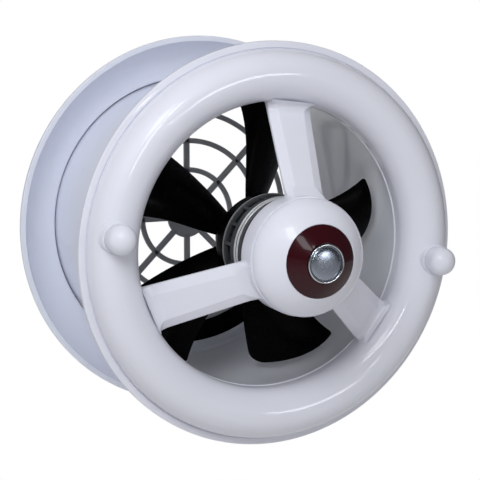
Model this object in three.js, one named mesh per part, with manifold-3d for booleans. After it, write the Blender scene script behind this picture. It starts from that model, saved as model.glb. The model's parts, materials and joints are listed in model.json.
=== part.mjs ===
// Window exhaust fan. A moulded front frame (a domed ring, three arms and a hub cup) carries the motor and its
// five-bladed impeller on the room side. A duct tube runs through the pane or wall behind it. An outdoor ring
// slides along the tube and is locked with clamp screws, and a web-shaped guard closes the tube's rear.
//
// Millimetres, +Z up. The origin is on the fan's axis, in the plane where the front ring's lip seats against the
// pane. -Y points into the room and +Y points outdoors. One arm of the front frame points straight up.
// Angles about the axis are in degrees, from +X towards +Z. A profile is a list of [radius, y] points.

import * as THREE from "three";
import { mergeVertices } from "three/addons/utils/BufferGeometryUtils.js";
import Module from "manifold-3d";

const wasm = await Module();
wasm.setup();

// Clearances
const fitGap = 0.3; // between pieces that are fastened or pressed together
const slideGap = 0.4; // outdoor ring's neck round the tube
const runningGap = 2.3; // impeller's hub behind the motor
const airGap = 0.5; // rotor core inside the stator
const shaftGap = 1; // shaft in the rear bell's opening

// Front ring
const throatRadius = 124.4;
const ringWidth = 50.6; // from the throat to the ring's outer edge
const ringWall = 3;
const domeHeight = 21; // from the lip's front face to the crest
const domeInset = 1.4; // lip's front land outside the dome
const lipThickness = 4;
const lipWidth = 8.5; // flat face that seats on the pane
const throatLength = 5.8; // collar behind the seating plane

// Arms of the front frame
const armCount = 3;
const armFirstAngle = 90;
const armHubWidth = 34.8;
const armRingWidth = 41;
const armHubFaceWidth = 17;
const armRingFaceWidth = 25;
const armBevelDepth = 4;
const armSideDepth = 3.5;
const armWall = 2.6;
const armHubY = -48.3; // rear edge of an arm at the hub
const armRingY = 4.6; // rear edge of an arm at the throat
const armFlareLength = 7; // where the bevels run out at both ends
const armFlareShare = 0.75; // how much of a bevel has gone at an arm's ends

// Hub cup and cap
const cupRadius = 50;
const cupWall = 3;
const cupFrontY = -68;
const cupRearY = -48;
const capSetback = 0.8; // cap's side in from the cup's
const capWall = 2.5;
const capSide = 6.5; // straight side ahead of the cup
const capShoulder = 19.5; // from the straight side's end to the trim ring's edge
const trimRadius = 30.2;
const trimBore = 16.4;
const trimThickness = 2.4;
const trimSlope = 36; // degrees
const capLean = 2.5; // how far the cap's shoulder draws in at its corner
const capEdgeWidth = 0.5; // land round the trim ring
const bezelWidth = 1.5;
const bezelHeight = 3.6;
const badgeDome = 1.6;
const badgeThickness = 2.6;

// Knobs and their studs
const knobShift = 1.2; // studs outside the dome's crest line
const knobRadius = 12.2;
const knobSkirt = 9.5;
const knobDome = 10.5;
const knobBevel = 1;
const padRadius = 14.6; // flat pad on the ring's crest
const padHeight = 2;
const studRadius = 2.2;
const studLength = 36;
const washerRadius = 7.5;
const washerThickness = 1;
const insertRadius = 3.6;

// Duct tube
const tubeStandOff = 9.8; // tube's outside beyond the throat
const tubeWall = 3;
const tubeRearY = 199;
const tubeStepY = 189.2; // rear face of the inner step that carries the guard
const tubeStepThickness = 2.5;
const tubeStepLap = 1.4; // how far the step's bore stands in from the throat
const lugRadius = 8;
const lugThickness = 8;
const lugArmWidth = 11;

// Outdoor ring
const rimFrontY = 161.4;
const rimThickness = 3.2;
const bandWidth = 11.3; // sloped band inside the rim, measured along the radius
const bandDepth = 8.7;
const bowlLip = 1; // how far the bowl still slopes where it meets the neck
const bowlDepth = 15.3; // from the band's inner edge to the neck
const collarWall = 3;
const collarRearY = 198.4;
const clampScrewCount = 3;
const clampScrewFirstAngle = 30;
const clampScrewY = 194;
const clampScrewRadius = 2.1;
const clampHeadRadius = 4.2;
const clampHeadHeight = 3.5;
const clampSlotWidth = 1;
const clampSlotDepth = 1;
const clampBossRadius = 5.4;
const clampBossHeight = 5;

// Guard
const guardTurn = 7.2; // the guard's bars against the arms
const guardThickness = 3.5;
const guardRingShares = [0.3724, 0.6016, 0.8293]; // of the step's bore
const guardRingWidth = 5;
const guardDiscRadius = 20;
const guardBarCount = 8;
const guardBarWidth = 5.8;
const guardRimWidth = 6.2;
const baffleThickness = 1.5;
const baffleSpan = 104; // degrees, about the lowest point
const guardScrewCount = 4;
const guardScrewFirstAngle = 45;
const guardScrewRadius = 1.5;
const guardScrewHeadRadius = 2.8;
const guardScrewHeadHeight = 1.8;
const guardScrewLength = 6;

// Motor
const motorRoom = 2.7; // between the front bell and the cup's wall
const motorWall = 2.5;
const coreFrontY = -33.9;
const coreRearY = -17.3;
const coreLap = 3; // how far the core's bore stands in from the windings
const motorRearY = 2;
const ventCount = 16;
const ventWidth = 7.6;
const ventFrontY = -14.2;
const ventLength = 11;
const bandFrontYs = [-29.2, -24.4];
const bandLength = 1.7;
const bandThickness = 1;
const windingWidth = 11;
const windingRoom = 2.8; // between the windings and the bells
const windingLength = 10;
const bearingRadius = 11;
const bearingWidth = 7;
const bearingSeatWall = 2.5;
const shaftRadius = 4;
const shaftEnd = 13; // free end behind the impeller
const motorScrewCount = 3;
const motorScrewFirstAngle = 30;
const motorScrewInset = 13.3; // screws' centres in from the bell's side
const motorScrewRadius = 1.9;
const motorScrewHeadRadius = 3.6;
const motorScrewHeadHeight = 2.2;
const capacitorSize = [36, 16, 14]; // along X, Y and Z
const capacitorZ = 13;
const terminalSize = [26, 12, 12];
const terminalZ = -14;

// Impeller
const bladeCount = 5;
const bladeTipGap = 1.4; // inside the throat
const bladeThickness = 2.2;
const bladeLeadRootAngle = 32.6; // leading edge where it leaves the hub's front
const bladeLeadTipAngle = 30.9;
const bladeLeadBow = 3.1; // degrees that the leading edge is hollow at mid span
const bladeTrailRootAngle = -10.6;
const bladeTrailTipAngle = -3.1;
const bladeFrontY = 41; // leading edge
const bladeRootRearY = 62;
const bladeTipRearY = 77;
const bladeCamber = 14.4; // at the tip, bulging into the room
const bladeCornerLength = 5; // rounded corners at the tip
const bladeCornerShare = 0.06; // of the chord, lost at each end of the tip
const impellerHubSetback = 1.1; // hub's side in from the motor's
const impellerHubSide = 14; // straight side ahead of the cone
const impellerHubDepth = 58.7;
const impellerTailRadius = 25;
const impellerHubWall = 2.6;
const impellerBossRadius = 9;
const impellerBossDepth = 30;
const nutRadius = 8;
const nutThickness = 6.5;
const nutWasherRadius = 9.5;
const nutWasherThickness = 1.2;

// Facets
const ringFacets = 40;
const hubFacets = 32;
const coreFacets = 24;
const knobFacets = 16;
const shaftFacets = 12;
const screwFacets = 8;
const arcSteps = 4;
const cutMargin = 1; // how far a cutting shape runs past the faces that it opens

const radians = THREE.MathUtils.degToRad;

// Places worked out from the sizes above
const ringRadius = throatRadius + ringWidth;
const capRadius = cupRadius - capSetback;
const motorRadius = cupRadius - cupWall - motorRoom;
const windingOuter = motorRadius - motorWall - windingRoom;
const windingInner = windingOuter - windingWidth;
const coreBore = windingInner - coreLap;
const motorScrewPitchRadius = motorRadius - motorScrewInset;
const impellerHubRadius = motorRadius - impellerHubSetback;
const tubeRadius = throatRadius + tubeStandOff;
const tubeStepBore = throatRadius - tubeStepLap;
const bladeTipRadius = throatRadius - bladeTipGap;
const domeInner = throatRadius;
const domeOuter = ringRadius - domeInset;
const domeCentre = (domeInner + domeOuter) / 2;
const knobPitchRadius = domeCentre + knobShift;
const domeHalf = (domeOuter - domeInner) / 2;
const crestY = -lipThickness - domeHeight;
const hollowInner = throatRadius + ringWall;
const hollowOuter = ringRadius - lipWidth;
const hollowCentre = (hollowInner + hollowOuter) / 2;
const hollowHalf = (hollowOuter - hollowInner) / 2;
const hollowHeight = -crestY - ringWall;
const tubeBore = tubeRadius - tubeWall;
const hollowArc = ellipseArc([hollowCentre, 0], hollowHalf, hollowHeight, -180, 0);
const tubeFrontY = hollowSeatY(tubeBore);
const lugFrontY = tubeFrontY;
const lugRearY = lugFrontY + lugThickness;
const padY = crestY - padHeight;
const studRearY = padY - fitGap - knobSkirt + studLength;
const bearingFrontY = cupFrontY + cupWall + fitGap + motorWall + fitGap;
const motorFrontY = cupFrontY + cupWall + fitGap;
const hubFrontY = motorRearY + runningGap;
const hubRearY = hubFrontY + impellerHubDepth;
const shaftFrontY = bearingFrontY + fitGap;
const shaftRearY = hubRearY + shaftEnd;
const seatRadius = bearingRadius + fitGap;
const neckRadius = tubeRadius + slideGap;
const guardFrontY = tubeStepY + fitGap;
const guardRearY = guardFrontY + guardThickness;
const guardRimRadius = tubeBore - fitGap;
const guardScrewPitch = (tubeStepBore + guardRimRadius) / 2;

const white = { color: 0xe6e7ef, roughness: 0.28, metalness: 0 };
const outdoorWhite = { color: 0xdfe1ea, roughness: 0.35, metalness: 0 };
const black = { color: 0x0b0c0d, roughness: 0.25, metalness: 0 };
const slate = { color: 0x54585b, roughness: 0.55, metalness: 0 };
const graphite = { color: 0x2c2f33, roughness: 0.5, metalness: 0.3 };
const maroon = { color: 0x3f0a10, roughness: 0.15, metalness: 0.1 };
const chrome = { color: 0xd8dde2, roughness: 0.08, metalness: 1 };
const steel = { color: 0x9a9ea3, roughness: 0.35, metalness: 1 };
const silver = { color: 0xc4c8cc, roughness: 0.3, metalness: 1 };
const copper = { color: 0xa65a2c, roughness: 0.45, metalness: 0.9 };
const brass = { color: 0xb08d45, roughness: 0.35, metalness: 1 };
const cream = { color: 0xe4dfcf, roughness: 0.6, metalness: 0 };

const fan = new THREE.Group();

function addPiece(name, geometry, finish) {
  const mesh = new THREE.Mesh(geometry, new THREE.MeshStandardMaterial(finish));
  mesh.name = name;
  fan.add(mesh);
}

// A copy of a geometry, turned about the fan's axis from +X towards +Z.
function turned(geometry, angle) {
  return geometry.clone().rotateY(-radians(angle));
}

function anglesOf(count, first) {
  return Array.from({ length: count }, (_, index) => first + (360 / count) * index);
}

// A body of revolution about the fan's axis. Its profile runs counter-clockwise with y upwards, and either
// starts and ends on the axis or is closed here.
function revolve(profile, facets) {
  const points = profile.map(([radius, y]) => new THREE.Vector2(radius, y));
  if (profile[0][0] > 0) points.push(points[0].clone());
  return new THREE.LatheGeometry(points, facets);
}

function ring(inner, outer, frontY, rearY, facets) {
  const profile = [[inner, frontY], [outer, frontY], [outer, rearY], [inner, rearY]];
  return revolve(profile, facets);
}

// A round bar along Y, with its ends at frontY and rearY, at a distance from the axis along +X.
function bar(radius, frontY, rearY, offset = 0, facets = screwFacets) {
  const geometry = new THREE.CylinderGeometry(radius, radius, rearY - frontY, facets);
  return geometry.translate(offset, (frontY + rearY) / 2, 0);
}

// A round bar that points away from the axis, along +X.
function radialBar(radius, inner, outer, y, facets = screwFacets) {
  const geometry = new THREE.CylinderGeometry(radius, radius, outer - inner, facets).rotateZ(Math.PI / 2);
  return geometry.translate((inner + outer) / 2, y, 0);
}

// Points on part of an ellipse in a profile, with both ends.
function ellipseArc(centre, halfWidth, height, from, to, steps = arcSteps) {
  return Array.from({ length: steps + 1 }, (_, index) => {
    const angle = radians(from + ((to - from) * index) / steps);
    return [centre[0] + halfWidth * Math.cos(angle), centre[1] + height * Math.sin(angle)];
  });
}

// Points on a curve that leaves its start towards the corner and comes to its end from there.
function roundedCorner(start, corner, end, steps = arcSteps) {
  const [a, b, c] = [start, corner, end].map((point) => new THREE.Vector2(...point));
  return new THREE.QuadraticBezierCurve(a, b, c).getPoints(steps).map((point) => point.toArray());
}

function toSolid(geometry) {
  const bare = geometry.clone();
  bare.deleteAttribute("normal");
  bare.deleteAttribute("uv");
  const merged = mergeVertices(bare, 1e-4);
  const vertProperties = merged.attributes.position.array;
  const triVerts = new Uint32Array(merged.index.array);
  return new wasm.Manifold(new wasm.Mesh({ numProp: 3, vertProperties, triVerts }));
}

function toGeometry(solid) {
  const { vertProperties, triVerts } = solid.getMesh();
  const indexed = new THREE.BufferGeometry();
  indexed.setAttribute("position", new THREE.BufferAttribute(vertProperties, 3));
  indexed.setIndex(new THREE.BufferAttribute(triVerts, 1));
  const geometry = indexed.toNonIndexed();
  geometry.computeVertexNormals();
  return geometry;
}

function join(geometries) {
  return toGeometry(geometries.map(toSolid).reduce((whole, solid) => whole.add(solid)));
}

function cut(geometry, tools) {
  return toGeometry(tools.map(toSolid).reduce((rest, tool) => rest.subtract(tool), toSolid(geometry)));
}

// Triangles that fill an outline and turn the same way round as it does.
function capFaces(outline) {
  const { area, triangulateShape } = THREE.ShapeUtils;
  const faces = triangulateShape(outline, []);
  const [a, b, c] = faces[0].map((index) => outline[index]);
  return area([a, b, c]) * area(outline) > 0 ? faces : faces.map((face) => face.toReversed());
}

// A solid skinned over a row of outlines with equal numbers of points. Each outline is flat points, and its
// place function puts them in space.
function loft(stations) {
  const count = stations[0].outline.length;
  const positions = stations.flatMap(({ outline, place }) => outline.flatMap((point) => place(point)));
  const faces = [];
  for (let station = 0; station < stations.length - 1; station++) {
    for (let side = 0; side < count; side++) {
      const a = station * count + side;
      const b = station * count + ((side + 1) % count);
      faces.push(a, b, a + count, b, b + count, a + count);
    }
  }
  const last = (stations.length - 1) * count;
  for (const [a, b, c] of capFaces(stations[0].outline)) {
    faces.push(c, b, a);
  }
  for (const [a, b, c] of capFaces(stations.at(-1).outline)) {
    faces.push(last + a, last + b, last + c);
  }
  const geometry = new THREE.BufferGeometry();
  geometry.setAttribute("position", new THREE.Float32BufferAttribute(positions, 3));
  geometry.setIndex(faces);
  return geometry;
}

// Where the end of a tube of this bore seats in the front ring's hollow, by its faceted outline.
function hollowSeatY(radius) {
  const next = hollowArc.findIndex((point) => point[0] > radius);
  const [r0, y0] = hollowArc[next - 1];
  const [r1, y1] = hollowArc[next];
  const slope = (y1 - y0) / (r1 - r0);
  return y0 + slope * (radius - r0) + fitGap * Math.hypot(1, slope);
}

// Front frame: ring, arms and hub cup in one moulding
function frontRing() {
  const front = ellipseArc([domeCentre, -lipThickness], domeHalf, domeHeight, 180, 360, 2 * arcSteps);
  return revolve(
    [
      [throatRadius, throatLength],
      ...front,
      [ringRadius, -lipThickness],
      [ringRadius, 0],
      ...hollowArc.toReversed(),
      [hollowInner, throatLength],
    ],
    ringFacets,
  );
}

// Half widths and rear edge of an arm at a distance from the axis.
function armAt(radius) {
  const share = (radius - cupRadius) / (throatRadius - cupRadius);
  return {
    half: THREE.MathUtils.lerp(armHubWidth, armRingWidth, share) / 2,
    face: THREE.MathUtils.lerp(armHubFaceWidth, armRingFaceWidth, share) / 2,
    rearY: THREE.MathUtils.lerp(armHubY, armRingY, share),
  };
}

// A tray section, open to the rear: a flat face between two bevels, and short sides.
function armStation(radius, flare) {
  const { half, face, rearY } = armAt(radius);
  const faceHalf = THREE.MathUtils.lerp(face, half, flare * armFlareShare);
  const depth = armSideDepth + armBevelDepth;
  const outline = [
    [-half, 0],
    [armWall - half, 0],
    [armWall - half, armSideDepth - armWall / 2],
    [armWall / 2 - faceHalf, depth - armWall],
    [faceHalf - armWall / 2, depth - armWall],
    [half - armWall, armSideDepth - armWall / 2],
    [half - armWall, 0],
    [half, 0],
    [half, armSideDepth],
    [faceHalf, depth],
    [-faceHalf, depth],
    [-half, armSideDepth],
  ].map((point) => new THREE.Vector2(...point));
  return { outline, place: ({ x, y }) => [radius, rearY - y, x] };
}

function arm() {
  const inside = cupRadius - 2 * armFlareLength;
  const outside = throatRadius + armFlareLength;
  const whole = loft([
    armStation(inside, 1),
    armStation(cupRadius, 1),
    armStation(cupRadius + armFlareLength, 0),
    armStation(throatRadius - armFlareLength, 0),
    armStation(throatRadius, 1),
    armStation(outside, 1),
  ]);
  const reach = 2 * ringRadius;
  const motorRoom = bar(cupRadius - cupWall / 2, -reach, reach, 0, hubFacets);
  const ringRoom = ring(throatRadius + ringWall / 2, reach, -reach, reach, ringFacets);
  return cut(whole, [motorRoom, ringRoom]);
}

function hubCup() {
  const bevel = cupWall / 3;
  return revolve(
    [
      [0, cupFrontY],
      [cupRadius - bevel, cupFrontY],
      [cupRadius, cupFrontY + bevel],
      [cupRadius, cupRearY - bevel],
      [cupRadius - bevel, cupRearY],
      [cupRadius - cupWall, cupRearY],
      [cupRadius - cupWall, cupFrontY + cupWall],
      [0, cupFrontY + cupWall],
    ],
    hubFacets,
  );
}

const knobAngles = { left: 180, right: 0 };
const motorScrewAngles = anglesOf(motorScrewCount, motorScrewFirstAngle);

function frontFrame() {
  const pad = bar(padRadius, padY, -lipThickness - domeHeight / 2, knobPitchRadius, knobFacets);
  const hollowRing = revolve(hollowArc, ringFacets);
  const padOnRing = cut(pad, [hollowRing]);
  const boss = bar(insertRadius + ringWall, crestY + ringWall / 2, lugFrontY - fitGap, knobPitchRadius, knobFacets);
  const studHole = bar(studRadius + fitGap, padY - ringWall, lugFrontY, knobPitchRadius);
  const screwHole = bar(motorScrewRadius + fitGap, cupFrontY - cupWall, motorFrontY, motorScrewPitchRadius);
  const sides = Object.values(knobAngles);
  const body = join([
    frontRing(),
    hubCup(),
    ...anglesOf(armCount, armFirstAngle).map((angle) => turned(arm(), angle)),
    ...sides.flatMap((angle) => [turned(padOnRing, angle), turned(boss, angle)]),
  ]);
  return cut(body, [
    ...sides.map((angle) => turned(studHole, angle)),
    ...motorScrewAngles.map((angle) => turned(screwHole, angle)),
  ]);
}

// Hub cap, trim ring, bezel and badge
const tan = (angle) => Math.tan(radians(angle));
const capFrontY = cupFrontY - fitGap;
const capSideY = capFrontY - capSide;
const trimEdgeY = capSideY - capShoulder;
const trimBoreY = trimEdgeY - (trimRadius - trimBore) * tan(trimSlope);
const recessRadius = trimRadius + fitGap;
const recessEdgeY = trimEdgeY + trimThickness + fitGap;
const badgeSeatY = trimBoreY + trimThickness + fitGap;
const badgeRadius = trimBore - fitGap - bezelWidth - fitGap;

function hubCap() {
  const wallAlongAxis = capWall / Math.cos(radians(trimSlope));
  const shoulderCorner = [capRadius - capLean, capSideY - capShoulder / 2];
  const outer = roundedCorner([recessRadius + capEdgeWidth, trimEdgeY], shoulderCorner, [capRadius, capSideY]);
  const innerCorner = [shoulderCorner[0] - capWall, shoulderCorner[1] + capWall];
  const inner = roundedCorner(
    [capRadius - capWall, capSideY + capWall / 2],
    innerCorner,
    [recessRadius, recessEdgeY + wallAlongAxis],
    arcSteps / 2,
  );
  return revolve(
    [
      [0, badgeSeatY],
      [trimBore, badgeSeatY],
      [recessRadius, recessEdgeY],
      [recessRadius, trimEdgeY + fitGap],
      ...outer,
      [capRadius, capFrontY],
      [capRadius - capWall, capFrontY],
      ...inner,
      [trimBore - capWall / 2, badgeSeatY + wallAlongAxis],
      [0, badgeSeatY + wallAlongAxis],
    ],
    hubFacets,
  );
}

function trimRing() {
  return revolve(
    [
      [trimBore, trimBoreY],
      [trimRadius, trimEdgeY],
      [trimRadius, trimEdgeY + trimThickness],
      [trimBore, trimBoreY + trimThickness],
    ],
    hubFacets,
  );
}

function badgeBezel() {
  const outer = trimBore - fitGap;
  const rearY = badgeSeatY - fitGap;
  const frontY = rearY - bezelHeight;
  const bevel = bezelWidth / 3;
  return revolve(
    [
      [outer - bezelWidth, frontY + bevel],
      [outer - bezelWidth + bevel, frontY],
      [outer - bevel, frontY],
      [outer, frontY + bevel],
      [outer, rearY],
      [outer - bezelWidth, rearY],
    ],
    coreFacets,
  );
}

function badge() {
  const rearY = badgeSeatY - fitGap;
  const edgeY = rearY - badgeThickness;
  const dome = ellipseArc([0, edgeY], badgeRadius, badgeDome, -90, 0, arcSteps / 2);
  return revolve([...dome, [badgeRadius, rearY], [0, rearY]], coreFacets);
}

// Knobs, with the stud and washer under each
function knob() {
  const baseY = padY - fitGap;
  const skirtY = baseY - knobSkirt;
  const bore = studRadius + fitGap;
  const pocket = washerRadius + fitGap;
  const pocketY = baseY - washerThickness - fitGap;
  const dome = ellipseArc([0, skirtY], knobRadius, knobDome, -90, 0);
  const profile = [
    ...dome,
    [knobRadius, baseY - knobBevel],
    [knobRadius - knobBevel / 2, baseY],
    [pocket, baseY],
    [pocket, pocketY],
    [bore, pocketY],
    [bore, skirtY - fitGap],
    [0, skirtY - fitGap],
  ];
  return revolve(profile, knobFacets).translate(knobPitchRadius, 0, 0);
}

function stud() {
  return bar(studRadius, studRearY - studLength, studRearY, knobPitchRadius);
}

function studWasher() {
  const rearY = padY - fitGap;
  const geometry = ring(studRadius + fitGap, washerRadius, rearY - washerThickness, rearY, knobFacets);
  return geometry.translate(knobPitchRadius, 0, 0);
}

function lugInsert() {
  const geometry = ring(studRadius + fitGap, insertRadius, lugFrontY, lugRearY, screwFacets);
  return geometry.translate(knobPitchRadius, 0, 0);
}

// Duct tube with its inner step and the two lugs that the studs pull on
const guardScrewAngles = anglesOf(guardScrewCount, guardScrewFirstAngle);

function ductTube() {
  const wall = revolve(
    [
      [tubeBore, tubeFrontY],
      [tubeRadius, tubeFrontY],
      [tubeRadius, tubeRearY],
      [tubeBore, tubeRearY],
      [tubeBore, tubeStepY],
      [tubeStepBore, tubeStepY],
      [tubeStepBore, tubeStepY - tubeStepThickness],
      [tubeBore, tubeStepY - tubeStepThickness],
    ],
    ringFacets,
  );
  const armInner = tubeRadius - tubeWall / 2;
  const lugArm = new THREE.BoxGeometry(knobPitchRadius - armInner, lugThickness, lugArmWidth);
  lugArm.translate((knobPitchRadius + armInner) / 2, (lugFrontY + lugRearY) / 2, 0);
  const lugBoss = bar(lugRadius, lugFrontY, lugRearY, knobPitchRadius, knobFacets);
  const lugHole = bar(insertRadius + fitGap, lugFrontY - cutMargin, lugRearY + cutMargin, knobPitchRadius);
  const guardHole = bar(guardScrewRadius + fitGap, tubeStepY - 2 * tubeStepThickness, guardFrontY, guardScrewPitch);
  const sides = Object.values(knobAngles);
  const body = join([wall, ...sides.flatMap((angle) => [turned(lugArm, angle), turned(lugBoss, angle)])]);
  return cut(body, [
    ...sides.map((angle) => turned(lugHole, angle)),
    ...guardScrewAngles.map((angle) => turned(guardHole, angle)),
  ]);
}

// Outdoor ring: the front ring's shape turned about, with a neck that slides on the tube
const bandInner = ringRadius - bandWidth;
const bandInnerY = rimFrontY + bandDepth;
const neckFrontY = bandInnerY + bowlDepth;

function outdoorRing() {
  const collarRadius = neckRadius + collarWall;
  const bowlCorner = bandInner - bandWidth / 2;
  const bowl = roundedCorner([neckRadius, neckFrontY], [bowlCorner, neckFrontY - bowlLip], [bandInner, bandInnerY]);
  const rear = roundedCorner(
    [bandInner + rimThickness, bandInnerY + rimThickness],
    [bowlCorner + rimThickness, neckFrontY + rimThickness],
    [collarRadius, neckFrontY + rimThickness],
  );
  const shell = revolve(
    [
      ...bowl,
      [ringRadius, rimFrontY],
      [ringRadius, rimFrontY + rimThickness],
      ...rear,
      [collarRadius, collarRearY],
      [neckRadius, collarRearY],
    ],
    ringFacets,
  );
  const boss = radialBar(clampBossRadius, neckRadius + collarWall / 2, collarRadius + clampBossHeight, clampScrewY);
  const behind = ring(neckRadius, ringRadius, collarRearY, collarRearY + clampBossRadius * 2, ringFacets);
  const hole = radialBar(clampScrewRadius + fitGap, neckRadius - cutMargin, ringRadius, clampScrewY);
  const angles = anglesOf(clampScrewCount, clampScrewFirstAngle);
  const body = join([shell, ...angles.map((angle) => turned(boss, angle))]);
  return cut(body, [behind, ...angles.map((angle) => turned(hole, angle))]);
}

function clampScrew() {
  const seat = neckRadius + collarWall + clampBossHeight + fitGap;
  const shank = radialBar(clampScrewRadius, tubeRadius + fitGap, seat + clampHeadHeight / 2, clampScrewY);
  const head = radialBar(clampHeadRadius, seat, seat + clampHeadHeight, clampScrewY);
  const slot = new THREE.BoxGeometry(2 * clampSlotDepth, clampSlotWidth, 2 * (clampHeadRadius + cutMargin));
  slot.translate(seat + clampHeadHeight, clampScrewY, 0);
  return cut(join([shank, head]), [slot]);
}

// Guard
function rearGuard() {
  const rings = guardRingShares.map((share) => {
    const radius = share * tubeStepBore;
    return ring(radius - guardRingWidth / 2, radius + guardRingWidth / 2, guardFrontY, guardRearY, coreFacets);
  });
  const rim = ring(guardRimRadius - guardRimWidth, guardRimRadius, guardFrontY, guardRearY, ringFacets);
  const disc = bar(guardDiscRadius, guardFrontY, guardRearY, 0, knobFacets);
  const reach = 2 * (guardRimRadius - guardRimWidth / 2);
  const cross = new THREE.BoxGeometry(reach, guardThickness, guardBarWidth);
  cross.translate(0, (guardFrontY + guardRearY) / 2, 0);
  const bars = anglesOf(guardBarCount, guardTurn).slice(0, guardBarCount / 2);
  const hole = bar(guardScrewRadius + fitGap, guardFrontY - cutMargin, guardRearY + cutMargin, guardScrewPitch);
  const body = join([rim, disc, ...rings, ...bars.map((angle) => turned(cross, angle))]);
  return cut(body, guardScrewAngles.map((angle) => turned(hole, angle)));
}

// Rain baffle: a crescent against the guard's rear that shuts its lowest gaps
function rainBaffle() {
  const inner = guardRingShares.at(-1) * tubeStepBore;
  const frontY = guardRearY + fitGap;
  const rearY = frontY + baffleThickness;
  const outline = [[inner, frontY], [guardRimRadius, frontY], [guardRimRadius, rearY], [inner, rearY]].map(
    (point) => new THREE.Vector2(...point),
  );
  const stations = Array.from({ length: coreFacets / 2 + 1 }, (_, index) => {
    const angle = radians(270 + baffleSpan * (index / (coreFacets / 2) - 0.5));
    return { outline, place: ({ x, y }) => [x * Math.cos(angle), y, x * Math.sin(angle)] };
  });
  const hole = bar(guardScrewRadius + fitGap, frontY - cutMargin, rearY + cutMargin, guardScrewPitch);
  return cut(loft(stations), guardScrewAngles.slice(guardScrewCount / 2).map((angle) => turned(hole, angle)));
}

// A screw that is put in from the rear, or from the front where its direction is -1.
function flatScrew(radius, length, headRadius, headHeight, seatY, direction, pitchRadius) {
  const shankEnd = seatY - direction * length;
  const headEnd = seatY + direction * headHeight;
  const inHead = seatY + (direction * headHeight) / 2;
  const shank = bar(radius, Math.min(shankEnd, inHead), Math.max(shankEnd, inHead), pitchRadius);
  const head = bar(headRadius, Math.min(seatY, headEnd), Math.max(seatY, headEnd), pitchRadius);
  return join([shank, head]);
}

// Motor
function frontBell() {
  const innerY = motorFrontY + motorWall;
  const inner = motorRadius - motorWall;
  const seatEndY = bearingFrontY + bearingWidth;
  const shell = revolve(
    [
      [0, motorFrontY],
      [motorRadius - motorWall, motorFrontY],
      [motorRadius, motorFrontY + motorWall],
      [motorRadius, coreFrontY - fitGap],
      [inner, coreFrontY - fitGap],
      [inner, innerY + motorWall],
      [inner - motorWall, innerY],
      [seatRadius + bearingSeatWall, innerY],
      [seatRadius + bearingSeatWall, seatEndY],
      [seatRadius, seatEndY],
      [seatRadius, innerY],
      [0, innerY],
    ],
    hubFacets,
  );
  const hole = bar(motorScrewRadius + fitGap, motorFrontY - cutMargin, innerY + cutMargin, motorScrewPitchRadius);
  return cut(shell, motorScrewAngles.map((angle) => turned(hole, angle)));
}

function rearBell() {
  const innerY = motorRearY - motorWall;
  const inner = motorRadius - motorWall;
  const shell = revolve(
    [
      [inner, coreRearY + fitGap],
      [motorRadius, coreRearY + fitGap],
      [motorRadius, innerY],
      [inner, motorRearY],
      [shaftRadius + shaftGap, motorRearY],
      [shaftRadius + shaftGap, innerY],
      [seatRadius, innerY],
      [seatRadius, innerY - bearingWidth],
      [seatRadius + bearingSeatWall, innerY - bearingWidth],
      [seatRadius + bearingSeatWall, innerY],
      [inner, innerY],
    ],
    hubFacets,
  );
  const vent = new THREE.BoxGeometry(3 * motorWall, ventLength, ventWidth);
  vent.translate(motorRadius, ventFrontY + ventLength / 2, 0);
  const firstAngle = 360 / hubFacets / 2;
  return cut(shell, anglesOf(ventCount, firstAngle).map((angle) => turned(vent, angle)));
}

function winding(frontY) {
  const half = (windingOuter - windingInner) / 2;
  const centre = [windingInner + half, frontY + windingLength / 2];
  const lastCorner = 180 - 360 / (arcSteps + 1);
  return revolve(ellipseArc(centre, half, windingLength / 2, -180, lastCorner), knobFacets);
}

function bearing(frontY) {
  return ring(shaftRadius + fitGap, bearingRadius, frontY, frontY + bearingWidth - fitGap, knobFacets);
}

function box(size, z) {
  const rearY = cupFrontY - fitGap;
  return new THREE.BoxGeometry(...size).translate(0, rearY - size[1] / 2, z);
}

// Impeller
function bladeStation(radius, trimShare) {
  const { lerp } = THREE.MathUtils;
  const share = (radius - impellerHubRadius) / (bladeTipRadius - impellerHubRadius);
  const bow = 4 * bladeLeadBow * share * (1 - share);
  const leadAngle = lerp(bladeLeadRootAngle, bladeLeadTipAngle, share) - bow;
  const trailAngle = lerp(bladeTrailRootAngle, bladeTrailTipAngle, share);
  const rearY = lerp(bladeRootRearY, bladeTipRearY, share);
  const camber = (bladeCamber * radius) / bladeTipRadius;
  const steps = arcSteps;
  const chord = Array.from({ length: steps + 1 }, (_, step) => lerp(trimShare, 1 - trimShare, step / steps));
  const half = bladeThickness / 2;
  const outline = [
    ...chord.map((along) => new THREE.Vector2(along, -half)),
    ...chord.toReversed().map((along) => new THREE.Vector2(along, half)),
  ];
  const place = ({ x, y }) => {
    const angle = radians(lerp(leadAngle, trailAngle, x));
    const height = lerp(bladeFrontY, rearY, x) - 4 * camber * x * (1 - x) + y;
    return [radius * Math.cos(angle), height, radius * Math.sin(angle)];
  };
  return { outline, place };
}

function blade() {
  const cornerStart = bladeTipRadius - bladeCornerLength;
  const span = cornerStart - impellerHubRadius;
  return loft([
    bladeStation(impellerTailRadius - 2 * impellerHubWall, 0),
    bladeStation(impellerHubRadius, 0),
    bladeStation(impellerHubRadius + span / 3, 0),
    bladeStation(impellerHubRadius + (2 * span) / 3, 0),
    bladeStation(cornerStart, 0),
    bladeStation(bladeTipRadius - bladeCornerLength / 3, bladeCornerShare / 3),
    bladeStation(bladeTipRadius, bladeCornerShare),
  ]);
}

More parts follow.
